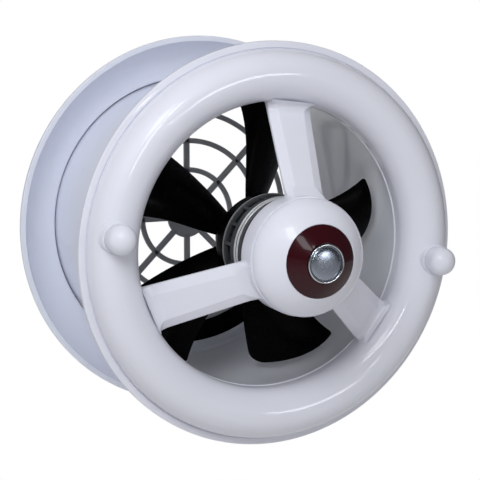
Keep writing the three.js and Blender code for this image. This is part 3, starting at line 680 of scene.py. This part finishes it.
# Knobs
def knob(side, word):
    base = PAD_Y - SEAT_GAP
    skirt = base - KNOB_SKIRT
    dome = arc((0, skirt), KNOB_R, KNOB_DOME, -90, 0, 32)
    floor_y = base - WASHER_RECESS
    profile = [
        *dome, (KNOB_R, base - 1), (KNOB_R - 0.5, base), (WASHER_RECESS_R, base), (WASHER_RECESS_R, floor_y),
        (STUD_BORE, floor_y), (STUD_BORE, skirt), (0, skirt),
    ]
    shape = lathe(profile, SMALL_SEGMENTS, (side * KNOB_PITCH, 0))
    piece(f"{word}_knob_dome", shape, WHITE, f"{word}_knob_set", [f"{word}_knob"])


for side, word in ((-1, "left"), (1, "right")):
    knob(side, word)


# Duct tube and outdoor ring
def frame_low(node):
    """The room-side end of a node along Y, in millimetres."""
    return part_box(node)[0][1] / MM


def duct_tube():
    front = frame_low("duct_tube")
    groove_r = TUBE_BORE + GROOVE_DEPTH
    wall = rounded([
        (TUBE_BORE, front, 0.5), (TUBE_R, front, 0.5),
        (TUBE_R, TUBE_REAR_Y, 0.8), (TUBE_BORE, TUBE_REAR_Y, 0.8),
        (TUBE_BORE, STEP_REAR_Y), (STEP_BORE, STEP_REAR_Y, 0.6), (STEP_BORE, STEP_FRONT_Y, 0.6),
        (TUBE_BORE, STEP_FRONT_Y, 1),
        (TUBE_BORE, GROOVE_Y + 0.8), (groove_r, GROOVE_Y + 0.6), (groove_r, GROOVE_Y - 0.6),
        (TUBE_BORE, GROOVE_Y - 0.8),
    ])
    lugs = []
    rear = front + LUG_LENGTH
    for side in (-1, 1):
        boss = rounded([(INSERT_R, front), (LUG_R, front, 0.5), (LUG_R, rear, 0.5), (INSERT_R, rear)])
        x0, x1 = sorted((side * (TUBE_R - 1), side * (KNOB_PITCH - 5)))
        lugs.append(lathe(boss, SMALL_SEGMENTS, (side * KNOB_PITCH, 0)))
        lugs.append(block((x0, front, -LUG_WEB / 2), (x1, rear, LUG_WEB / 2)))
    shape = together(lathe(wall), *lugs)
    piece("duct_tube_shell", shape, DUCT_SHADED_INSIDE, "housing", ["duct_tube"])


def outdoor_ring():
    collar, rear_y = NECK_R + RING_WALL, NECK_FRONT_Y + RIM_THICKNESS
    middle = BAND_INNER_R - BOWL_BEND
    land = RING_R - LAND_WIDTH
    seam = [(NECK_R, NECK_FRONT_Y + 3), (NECK_R + SEAM_OPENING, NECK_FRONT_Y + 0.3)]
    bowl = curve(
        (NECK_R + SEAM_OPENING + 0.4, NECK_FRONT_Y),
        (middle, NECK_FRONT_Y - 1),
        (land - 0.4, RIM_FRONT_Y + 1.4),
    )
    rear = curve(
        (BAND_INNER_R + RIM_THICKNESS, BAND_INNER_Y + RIM_THICKNESS),
        (middle + RIM_THICKNESS, rear_y),
        (collar, rear_y),
    )
    rim = rounded([
        (land, RIM_FRONT_Y, 0.4), (RING_R, RIM_FRONT_Y, 0.7), (RING_R, RIM_FRONT_Y + RIM_THICKNESS, 0.9),
        rear[0], bowl[-1],
    ])[:-2]
    end = [(collar, OUTDOOR_REAR_Y - 0.6), (collar - 0.6, OUTDOOR_REAR_Y), (NECK_R, OUTDOOR_REAR_Y)]
    profile = [*seam, *bowl, *rim, *rear, *end]
    piece("outdoor_ring_shell", lathe(profile), OUTDOOR, "outdoor", ["outdoor_ring"])


duct_tube()
outdoor_ring()


# Guard: webs with rounded edges
def web_section(low, high):
    front, rear = GUARD_FRONT_Y, GUARD_REAR_Y
    return rounded([(low, front, 1), (high, front, 1), (high, rear, 1), (low, rear, 1)])


def web_ring(inner, outer):
    return lathe(web_section(inner, outer), RING_SEGMENTS // 2)


def web_bar():
    section = web_section(-GUARD_BAR_W / 2, GUARD_BAR_W / 2)
    reach = GUARD_RIM_R - GUARD_RIM_W / 2
    return grid([[(x, y, z) for z, y in section] for x in (GUARD_DISC_R - 2, reach)])


def guard():
    rings = [web_ring(r - GUARD_RING_W / 2, r + GUARD_RING_W / 2) for r in GUARD_RINGS]
    rim = web_ring(GUARD_RIM_R - GUARD_RIM_W, GUARD_RIM_R)
    front, rear = GUARD_FRONT_Y, GUARD_REAR_Y
    section = rounded([(0, front), (GUARD_DISC_R, front, 1.2), (GUARD_DISC_R, rear, 1.2), (0, rear)])
    disc = lathe(section, SMALL_SEGMENTS)
    shape = together(*rings, rim, disc, *around(web_bar(), GUARD_BARS, GUARD_TURN))
    piece("guard_web", shape, GUARD, "housing", ["rear_guard"])


# A black crescent sheet just behind the lower part of the guard, reaching from its outer ring to its rim.
def rain_baffle():
    inner, outer = GUARD_RINGS[-1], GUARD_RIM_R
    front = GUARD_REAR_Y + SEAT_GAP
    rear = front + CRESCENT_THICKNESS
    section = [(inner, front), (outer, front), (outer, rear), (inner, rear)]
    angles = np.radians(np.linspace(270 - CRESCENT_HALF_ANGLE, 270 + CRESCENT_HALF_ANGLE, 80))
    rows = [[(r * math.cos(a), y, r * math.sin(a)) for r, y in section] for a in angles]
    piece("black_crescent", grid(rows), BLACK, "housing", ["rain_baffle"])


guard()
rain_baffle()


# Motor
def motor():
    inner = MOTOR_R - BELL_WALL
    end, floor_y = CORE_FRONT_Y - SEAT_GAP, MOTOR_FRONT_Y + BELL_WALL
    front = rounded([
        (0, MOTOR_FRONT_Y), (MOTOR_R, MOTOR_FRONT_Y, 3), (MOTOR_R, end, 0.6), (inner, end),
        (inner, floor_y), (0, floor_y),
    ])
    shape = lathe(front, HUB_SEGMENTS)
    piece("motor_bell_front", shape, FRONT_BELL, "housing", ["motor_front_bell"])
    start, floor_y = CORE_REAR_Y + SEAT_GAP, MOTOR_REAR_Y - BELL_WALL
    flange = MOTOR_R + FLANGE_LIFT
    rear = rounded([
        (inner, start), (MOTOR_R, start, 0.5), (MOTOR_R, MOTOR_REAR_Y - 2.6),
        (flange, MOTOR_REAR_Y - 2.4, 0.3), (flange, MOTOR_REAR_Y - 0.8, 0.3), (MOTOR_R, MOTOR_REAR_Y, 0.8),
        (HUB_BORE, MOTOR_REAR_Y), (HUB_BORE, floor_y), (inner, floor_y),
    ])
    half = VENT_WIDTH / 2
    low, high = MOTOR_R - VENT_REACH, MOTOR_R + VENT_REACH
    vent = block((low, VENT_FRONT_Y, -half), (high, VENT_FRONT_Y + VENT_LENGTH, half))
    vents = together(*around(vent, VENTS, 180 / VENTS))
    shape = lathe(rear, HUB_SEGMENTS)
    piece("motor_bell_rear", shape, GRAPHITE, "housing", ["motor_rear_bell"], vents)
    core_r = MOTOR_R - SEAT_GAP
    core = rounded([
        (CORE_BORE, CORE_FRONT_Y), (core_r, CORE_FRONT_Y), (core_r, CORE_REAR_Y), (CORE_BORE, CORE_REAR_Y),
    ])
    piece("stator_stack", lathe(core, HUB_SEGMENTS), GRAPHITE, "housing", ["stator_core"])
    for number, middle in enumerate(BAND_MIDDLES, 1):
        start, end = middle - BAND_HALF, middle + BAND_HALF
        band = rounded([(MOTOR_R, start), (MOTOR_R + 1, start, 0.5), (MOTOR_R + 1, end, 0.5), (MOTOR_R, end)])
        shape = lathe(band, HUB_SEGMENTS)
        piece(f"bright_band_{number}", shape, BAND, "housing", [f"stator_band_{number}"])


motor()


# Impeller
LEAD_ROOT, LEAD_TIP, LEAD_BOW = 32.6, 30.9, 3.1
TRAIL_ROOT, TRAIL_TIP = -10.6, -3.1
BLADE_FRONT_Y = 41
BLADE_ROOT_Y, BLADE_TIP_Y = 62, 77
BLADE_CAMBER = 14.4
LEAD_CORNER, TRAIL_CORNER = 3.5, 11
TIP_CHORD = 80
EDGE_FULLNESS = 0.45
TIP_THINNING = 0.6
THINNING_START = 0.95


def corner_trim(radius, corner):
    inside = radius - (BLADE_TIP_R - corner)
    if inside <= 0:
        return 0
    return (corner - math.sqrt(max(corner ** 2 - inside ** 2, 0))) / TIP_CHORD


def blade_row(radius, half):
    share = (radius - HUB_R) / (BLADE_TIP_R - HUB_R)
    lead = LEAD_ROOT + share * (LEAD_TIP - LEAD_ROOT) - 4 * LEAD_BOW * share * (1 - share)
    trail = TRAIL_ROOT + share * (TRAIL_TIP - TRAIL_ROOT)
    rear = BLADE_ROOT_Y + share * (BLADE_TIP_Y - BLADE_ROOT_Y)
    camber = BLADE_CAMBER * radius / BLADE_TIP_R
    first, last = corner_trim(radius, LEAD_CORNER), 1 - corner_trim(radius, TRAIL_CORNER)
    round_trip = []
    for turn in np.linspace(0, 2 * math.pi, 64, endpoint=False):
        x = first + (last - first) * (1 - math.cos(turn)) / 2
        thin = half * math.copysign(abs(math.sin(turn)) ** EDGE_FULLNESS, -math.sin(turn))
        angle = math.radians(lead + x * (trail - lead))
        y = BLADE_FRONT_Y + x * (rear - BLADE_FRONT_Y) - 4 * camber * x * (1 - x) + thin
        round_trip.append((radius * math.cos(angle), y, radius * math.sin(angle)))
    return round_trip


def blade():
    half = BLADE_THICKNESS / 2
    rows = [blade_row(radius, half) for radius in np.linspace(HUB_TAIL_R - 1, BLADE_TIP_R - TRAIL_CORNER, 20)]
    for turn in np.linspace(0, math.pi / 2, 14)[1:]:
        radius = BLADE_TIP_R - TRAIL_CORNER + TRAIL_CORNER * math.sin(turn)
        thinned = max(0, math.sin(turn) - THINNING_START) / (1 - THINNING_START)
        rows.append(blade_row(radius, half * (1 - TIP_THINNING * thinned)))
    return grid(rows)


def impeller():
    inner, floor_y, side_y = HUB_R - HUB_WALL, HUB_REAR_Y - HUB_WALL, HUB_FRONT_Y + HUB_SIDE
    hub = rounded([
        (HUB_BORE, floor_y), (HUB_TAIL_R - HUB_WALL, floor_y), (inner, side_y), (inner, HUB_FRONT_Y, 0.6),
        (HUB_R, HUB_FRONT_Y, 0.8), (HUB_R, side_y, 14), (HUB_TAIL_R, HUB_REAR_Y, 5), (HUB_BORE, HUB_REAR_Y),
    ])
    front, rear = SHAFT_BOSS_FRONT_Y, HUB_REAR_Y - 1
    boss = rounded([
        (SHAFT_BOSS_BORE, front), (SHAFT_BOSS_R, front, 0.6), (SHAFT_BOSS_R, rear), (SHAFT_BOSS_BORE, rear),
    ])
    shape = together(lathe(hub, HUB_SEGMENTS), lathe(boss, SMALL_SEGMENTS), *around(blade(), BLADES))
    piece("impeller_moulding", shape, BLACK, "rotor", ["impeller"])


impeller()


# Carried-over nodes
FINISHES = {
    "steel": STEEL,
    "brass": BRASS,
    "copper": COPPER,
    "cream_plastic": CREAM,
    "motor_paint": GRAPHITE,
    "chrome": CHROME,
}
SLOT_OF = {part["node"]: part["material_slot"] for part in frame["record"]["subparts"]}
for name, thing in frame["nodes"].items():
    finish = FINISHES.get(SLOT_OF[name])
    if finish:
        for spot in thing.material_slots:
            spot.material = finish


# Stage, in metres and watts
FLOOR_Z = -0.62
FLOOR_REACH = 12
LAMPS = (
    # name, place, aimed at, direction of its width, width, height, power; all of these light matt surfaces
    ("key", (-0.52, -0.58, 0.42), (0, 0, 0), (1, 0, 0), 0.45, 0.45, 2.8),
    ("broad", (-1.25, -1.15, 1.22), (0, 0, 0), (1, 0, 0), 1.0, 1.0, 10.5),
    ("fill", (0.6, -2.0, 0.3), (0, 0, 0), (1, 0, 0), 1.0, 1.0, 2.4),
    ("rear", (0.2, 2.2, 1), (0, 0.1, 0), (1, 0, 0), 1.0, 1.0, 7),
    ("rear_right", (1.25, 2.2, 0.7), (0, 0.1, 0), (-1, 0.57, 0), 1.0, 1.0, 16),
)
CARDS = (
    # The same values; these only show as reflections.
    ("strip_left", (-0.25, -0.84, 0.365), (0.11, -0.02, -0.07), (-0.07, -0.22, -0.43), 0.48, 0.045, 1.1),
    ("card_right", (0.36, -0.93, 0.085), (0, -0.02, 0), (1, 0, 0), 0.16, 0.1, 0.45),
    ("card_middle", (0.16, -0.99, 0.15), (0.1, -0.02, -0.08), (1, 0, 0), 0.06, 0.04, 0.1),
    ("card_high", (-0.47, -0.77, 0.6), (-0.02, -0.1, 0.02), (1, 0, 0), 0.22, 0.34, 1.1),
)
KEY_COLOR = (0.95, 0.975, 1)
AMBIENT = 0.37
MIRRORED = 0.07


def area_light(name, place, aim, along, width, height, power, lights_matt):
    lamp = bpy.data.lights.new(name, "AREA")
    lamp.shape = "RECTANGLE"
    lamp.size = width
    lamp.size_y = height
    lamp.energy = power
    lamp.color = KEY_COLOR
    holder = bpy.data.objects.new(name, lamp)
    back = (Vector(place) - Vector(aim)).normalized()
    aside = (Vector(along) - back * back.dot(Vector(along))).normalized()
    axes = Matrix((aside, back.cross(aside), back)).transposed().to_4x4()
    holder.matrix_world = Matrix.Translation(place) @ axes
    holder.visible_camera = False
    holder.visible_diffuse = lights_matt
    holder.visible_glossy = not lights_matt
    bpy.context.collection.objects.link(holder)


def any_ray(tree, *outputs):
    path = tree.nodes.new("ShaderNodeLightPath")
    sockets = [path.outputs[output] for output in outputs]
    result = sockets[0]
    for other in sockets[1:]:
        either = tree.nodes.new("ShaderNodeMath")
        either.operation = "MAXIMUM"
        tree.links.new(result, either.inputs[0])
        tree.links.new(other, either.inputs[1])
        result = either.outputs[0]
    return result


def world():
    sky = bpy.data.worlds.new("studio")
    bpy.context.scene.world = sky
    sky.use_nodes = True
    tree = sky.node_tree
    light = tree.nodes["Background"]
    light.inputs["Color"].default_value = (1, 0.99, 0.98, 1)
    light.inputs["Strength"].default_value = AMBIENT
    mirrored = tree.nodes.new("ShaderNodeBackground")
    mirrored.inputs["Strength"].default_value = MIRRORED
    seen = tree.nodes.new("ShaderNodeBackground")
    seen.inputs["Color"].default_value = (1, 1, 1, 1)
    shown = light
    for other, rays in ((mirrored, ["Is Glossy Ray"]), (seen, ["Is Camera Ray", "Is Transmission Ray"])):
        mix = tree.nodes.new("ShaderNodeMixShader")
        tree.links.new(any_ray(tree, *rays), mix.inputs["Fac"])
        tree.links.new(shown.outputs[0], mix.inputs[1])
        tree.links.new(other.outputs[0], mix.inputs[2])
        shown = mix
    tree.links.new(shown.outputs[0], tree.nodes["World Output"].inputs["Surface"])


def floor():
    made = material("floor", (0.8, 0.8, 0.8), 0.7)
    tree = made.node_tree
    white = tree.nodes.new("ShaderNodeEmission")
    mix = tree.nodes.new("ShaderNodeMixShader")
    tree.links.new(any_ray(tree, "Is Camera Ray", "Is Transmission Ray"), mix.inputs["Fac"])
    tree.links.new(tree.nodes["Principled BSDF"].outputs[0], mix.inputs[1])
    tree.links.new(white.outputs[0], mix.inputs[2])
    tree.links.new(mix.outputs[0], tree.nodes["Material Output"].inputs["Surface"])
    mesh = bpy.data.meshes.new("floor")
    corners = [(x * FLOOR_REACH, y * FLOOR_REACH, FLOOR_Z) for x, y in ((-1, -1), (1, -1), (1, 1), (-1, 1))]
    mesh.from_pydata(corners, [], [(0, 1, 2, 3)])
    mesh.materials.append(made)
    plane = bpy.data.objects.new("floor", mesh)
    bpy.context.collection.objects.link(plane)


world()
floor()
for lamp in LAMPS:
    area_light(*lamp, lights_matt=True)
for card in CARDS:
    area_light(*card, lights_matt=False)
bpy.context.scene.view_settings.view_transform = "Standard"
